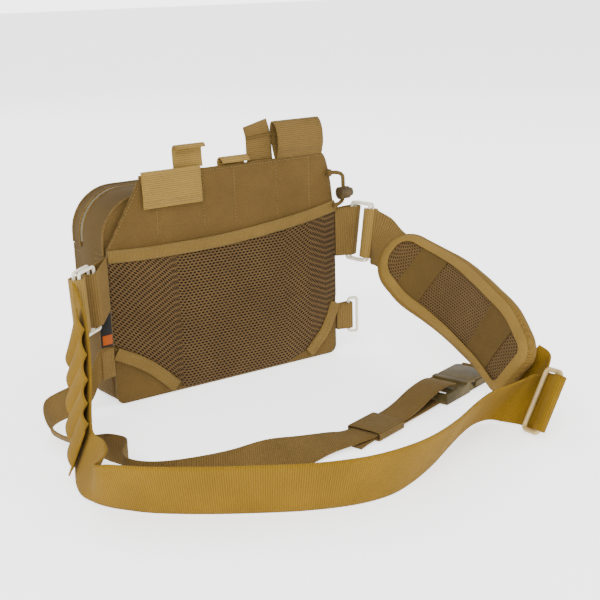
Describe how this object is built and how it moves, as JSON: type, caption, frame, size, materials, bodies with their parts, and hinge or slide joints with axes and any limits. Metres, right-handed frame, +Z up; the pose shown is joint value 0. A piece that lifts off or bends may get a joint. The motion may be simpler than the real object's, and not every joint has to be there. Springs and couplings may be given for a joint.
{
  "type": "binocular harness pack",
  "caption": "Flat chest pack for binoculars with a zipped front, mesh back pocket, webbing loops, padded shoulder sling and a buckled waist strap.",
  "frame": {"origin": "middle of the pack's flat base, on the surface it stands on", "axes": "+Z up, +Y out of the front of the pack, -Y the side worn against the body, +X the side with the padded end of the sling"},
  "size_m": [0.4364, 0.3956, 0.2481],
  "materials": {
    "pack_fabric": "woven, matt",
    "webbing": "ribbed webbing",
    "binding": "grosgrain tape",
    "pocket_mesh": "open mesh",
    "pad_mesh": "spacer mesh",
    "foam": "closed-cell foam",
    "loop_pile": "loop pile",
    "ring_wire": "satin",
    "glide_wire": "satin, sand",
    "buckle_plastic": "fine texture",
    "lock_plastic": "fine texture",
    "cord": "braided",
    "zip": "coil and coated slider",
    "label": "woven tag",
    "label_block": "plain block"
  },
  "bodies": {
    "pack": {"back_panel": "pack_fabric", "buckle_end_loop": "webbing", "buckle_female": "buckle_plastic", "buckle_male": "buckle_plastic", "drawcord": "cord", "drawcord_eyes": "webbing", "front_panel_lower": "pack_fabric", "front_webbing_rows": "webbing", "inner_sleeve": "pack_fabric", "low_roll_loop": "webbing", "lower_gusset": "pack_fabric", "lower_tab_left": "webbing", "lower_tab_right": "webbing", "mesh_corner_bindings": "binding", "mesh_pocket": "pocket_mesh", "mesh_top_binding": "binding", "rear_panel": "pack_fabric", "ring_left": "ring_wire", "ring_right": "ring_wire", "ring_sleeve_left": "webbing", "ring_sleeve_right": "webbing", "side_label": "label", "side_label_block": "label_block", "slot_pocket_edge": "pack_fabric", "strap_anchors": "webbing", "upper_gusset_rear": "pack_fabric", "upper_tab_left": "webbing", "upper_tab_right": "webbing", "waist_strap": "webbing", "waist_strap_return": "webbing", "zip_coil_rear": "zip"},
    "front_flap": {"zip_coil_front": "zip", "upper_gusset_front": "pack_fabric", "front_panel_upper": "pack_fabric", "front_loop_patch": "loop_pile"},
    "zip_slider_left": {"zip_slider_left": "zip"},
    "zip_slider_right": {"zip_slider_right": "zip"},
    "zip_pull_left": {"zip_pull_left": "zip"},
    "zip_pull_right": {"zip_pull_right": "zip"},
    "wide_flap_left": {"wide_flap_left": "webbing"},
    "narrow_strap_left": {"narrow_strap_left": "webbing"},
    "narrow_strap_right": {"narrow_strap_right": "webbing"},
    "wide_loop_right": {"wide_loop_right": "webbing"},
    "sling": {"main_strap": "webbing", "daisy_loops": "webbing", "pad_core": "foam", "pad_mesh_face": "pad_mesh", "pad_outer_face": "pack_fabric", "pad_binding_lower": "binding", "pad_binding_upper": "binding", "pad_patches": "pack_fabric", "pad_back_webbing": "webbing", "tri_glide": "glide_wire", "pad_tail_webbing": "webbing"},
    "strap_keeper": {"strap_keeper": "webbing"},
    "buckle_prong_near": {"buckle_prong_near": "buckle_plastic"},
    "buckle_prong_far": {"buckle_prong_far": "buckle_plastic"},
    "cord_lock_body": {"cord_lock_body": "lock_plastic"},
    "cord_lock_button": {"cord_lock_button": "lock_plastic"},
    "lower_slider_bar": {"lower_slider_bar": "ring_wire"}
  },
  "joints": [
    {"name": "front_flap_hinge", "type": "hinge", "parent": "pack", "child": "front_flap", "pos_m": [0, 0.037, 0.142], "axis": [-1, 0, 0], "range_deg": [0, 100]},
    {"name": "zip_slider_left_run", "type": "slide", "parent": "pack", "child": "zip_slider_left", "axis": [1, 0, 0], "range_m": [-0.06, 0.008]},
    {"name": "zip_slider_right_run", "type": "slide", "parent": "pack", "child": "zip_slider_right", "axis": [1, 0, 0], "range_m": [-0.008, 0.065]},
    {"name": "zip_pull_left_pivot", "type": "hinge", "parent": "zip_slider_left", "child": "zip_pull_left", "pos_m": [-0.018, 0.0118, 0.1994], "axis": [-1, 0, 0], "range_deg": [0, 150]},
    {"name": "zip_pull_right_pivot", "type": "hinge", "parent": "zip_slider_right", "child": "zip_pull_right", "pos_m": [0.012, 0.0118, 0.1994], "axis": [-1, 0, 0], "range_deg": [0, 150]},
    {"name": "wide_flap_left_fold", "type": "hinge", "parent": "pack", "child": "wide_flap_left", "pos_m": [-0.057, -0.0367, 0.2114], "axis": [-1, 0, 0], "range_deg": [0, 110]},
    {"name": "narrow_strap_left_fold", "type": "hinge", "parent": "pack", "child": "narrow_strap_left", "pos_m": [-0.036, -0.0319, 0.211], "axis": [-1, 0, 0], "range_deg": [0, 60]},
    {"name": "narrow_strap_right_fold", "type": "hinge", "parent": "pack", "child": "narrow_strap_right", "pos_m": [0.042, -0.0319, 0.211], "axis": [-1, 0, 0], "range_deg": [0, 60]},
    {"name": "wide_loop_right_fold", "type": "hinge", "parent": "pack", "child": "wide_loop_right", "pos_m": [0.085, -0.036, 0.2115], "axis": [-1, 0, 0], "range_deg": [-25, 25]},
    {"name": "sling_swing", "type": "hinge", "parent": "pack", "child": "sling", "pos_m": [-0.002, -0.05, 0.1175], "axis": [-0.998, -0.0066, -0.0628], "range_deg": [0, 90]},
    {"name": "strap_keeper_run", "type": "slide", "parent": "pack", "child": "strap_keeper", "axis": [0.9563, 0.2924, 0], "range_m": [-0.004, 0.006]},
    {"name": "buckle_prong_near_flex", "type": "hinge", "parent": "pack", "child": "buckle_prong_near", "pos_m": [0.15097, -0.20648, 0.006], "axis": [0, 0, 1], "range_deg": [0, 6], "stiffness_Nm_per_rad": 0.5},
    {"name": "buckle_prong_far_flex", "type": "hinge", "parent": "pack", "child": "buckle_prong_far", "pos_m": [0.1436, -0.18239, 0.006], "axis": [0, 0, -1], "range_deg": [0, 6], "stiffness_Nm_per_rad": 0.5},
    {"name": "cord_lock_run", "type": "slide", "parent": "pack", "child": "cord_lock_body", "axis": [0, 0, 1], "range_m": [0, 0.005]},
    {"name": "cord_lock_press", "type": "slide", "parent": "cord_lock_body", "child": "cord_lock_button", "axis": [-1, 0, 0], "range_m": [0, 0.0024], "stiffness_N_per_m": 300},
    {"name": "lower_slider_bar_swing", "type": "hinge", "parent": "pack", "child": "lower_slider_bar", "pos_m": [0.1405, -0.0384, 0.038], "axis": [0, 0, 1], "range_deg": [-40, 40]}
  ]
}
